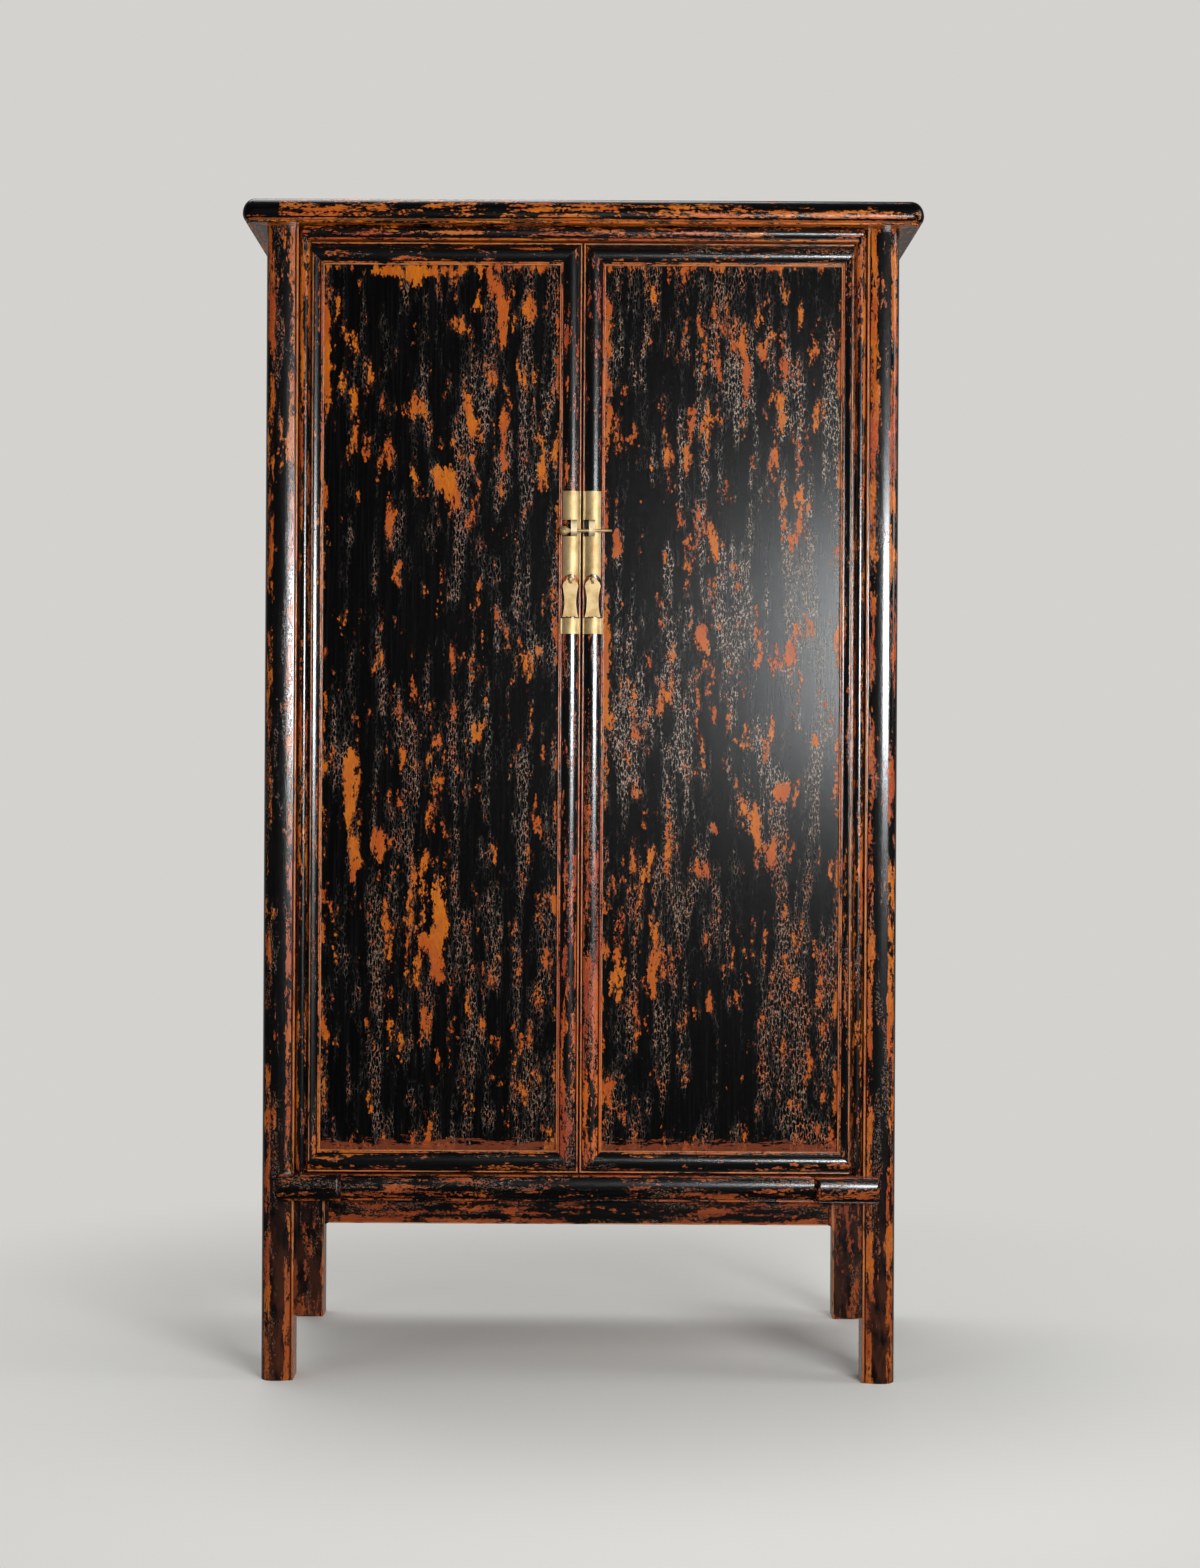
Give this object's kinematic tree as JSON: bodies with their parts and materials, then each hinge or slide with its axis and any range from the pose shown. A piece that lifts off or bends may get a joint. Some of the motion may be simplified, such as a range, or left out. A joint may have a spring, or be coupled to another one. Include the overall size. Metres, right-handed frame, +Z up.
{
  "type": "two-door cabinet",
  "caption": "Tall two-door cabinet with a rounded overhanging cap, pivot-hung framed doors, hanging spandrels, inner shelves and a brass pin lock with swinging pulls.",
  "frame": {"origin": "middle of the footprint, on the floor under the cabinet", "axes": "+Z up, the doors face -Y, +X to the right of someone who faces the doors"},
  "size_m": [1.021, 0.56, 1.773],
  "materials": {
    "black_lacquer": "black lacquer, worn through to orange lacquer",
    "bare_wood": "bare, darkened",
    "brass": "satin"
  },
  "bodies": {
    "carcass": {"cap_front_rail": "black_lacquer", "cap_back_rail": "black_lacquer", "cap_left_rail": "black_lacquer", "cap_right_rail": "black_lacquer", "cap_panel": "black_lacquer", "cap_battens": "bare_wood", "front_left_post": "black_lacquer", "front_right_post": "black_lacquer", "rear_left_post": "black_lacquer", "rear_right_post": "black_lacquer", "front_top_rail": "black_lacquer", "front_bottom_rail": "black_lacquer", "left_pivot_block": "black_lacquer", "right_pivot_block": "black_lacquer", "front_apron": "black_lacquer", "front_left_spandrel": "black_lacquer", "front_right_spandrel": "black_lacquer", "left_side_top_rail": "black_lacquer", "left_side_bottom_rail": "black_lacquer", "left_side_panel": "black_lacquer", "left_side_apron": "black_lacquer", "right_side_top_rail": "black_lacquer", "right_side_bottom_rail": "black_lacquer", "right_side_panel": "black_lacquer", "right_side_apron": "black_lacquer", "back_top_rail": "black_lacquer", "back_bottom_rail": "black_lacquer", "back_stile": "black_lacquer", "back_left_panel": "bare_wood", "back_right_panel": "bare_wood", "back_apron": "black_lacquer", "bottom_board": "bare_wood", "lower_shelf": "bare_wood", "upper_shelf": "bare_wood", "lower_shelf_bearers": "bare_wood", "upper_shelf_bearers": "bare_wood"},
    "left_door": {"left_door_pivot_stile": "black_lacquer", "left_door_meeting_stile": "black_lacquer", "left_door_top_rail": "black_lacquer", "left_door_bottom_rail": "black_lacquer", "left_door_panel": "black_lacquer", "left_door_battens": "bare_wood", "left_lock_sleeve": "brass", "left_lock_staple": "brass", "left_pull_eye": "brass", "left_foot_band": "brass"},
    "right_door": {"right_door_pivot_stile": "black_lacquer", "right_door_meeting_stile": "black_lacquer", "right_door_top_rail": "black_lacquer", "right_door_bottom_rail": "black_lacquer", "right_door_panel": "black_lacquer", "right_door_battens": "bare_wood", "right_lock_sleeve": "brass", "right_lock_staple": "brass", "right_pull_eye": "brass", "right_foot_band": "brass"},
    "lock_pin": {"lock_pin": "brass"},
    "left_pull": {"left_pull": "brass"},
    "right_pull": {"right_pull": "brass"}
  },
  "joints": [
    {"name": "left_door_swing", "type": "hinge", "parent": "carcass", "child": "left_door", "pos_m": [-0.4185, -0.2385, 0.3], "axis": [0, 0, -1], "range_deg": [0, 95]},
    {"name": "right_door_swing", "type": "hinge", "parent": "carcass", "child": "right_door", "pos_m": [0.4185, -0.2385, 0.3], "axis": [0, 0, 1], "range_deg": [0, 95]},
    {"name": "lock_pin_slide", "type": "slide", "parent": "left_door", "child": "lock_pin", "axis": [-1, 0, 0], "range_m": [0, 0.048]},
    {"name": "left_pull_swing", "type": "hinge", "parent": "left_door", "child": "left_pull", "pos_m": [-0.0167, -0.2545, 1.2058], "axis": [-1, 0, 0], "range_deg": [0, 80]},
    {"name": "right_pull_swing", "type": "hinge", "parent": "right_door", "child": "right_pull", "pos_m": [0.0167, -0.2545, 1.2058], "axis": [-1, 0, 0], "range_deg": [0, 80]}
  ]
}
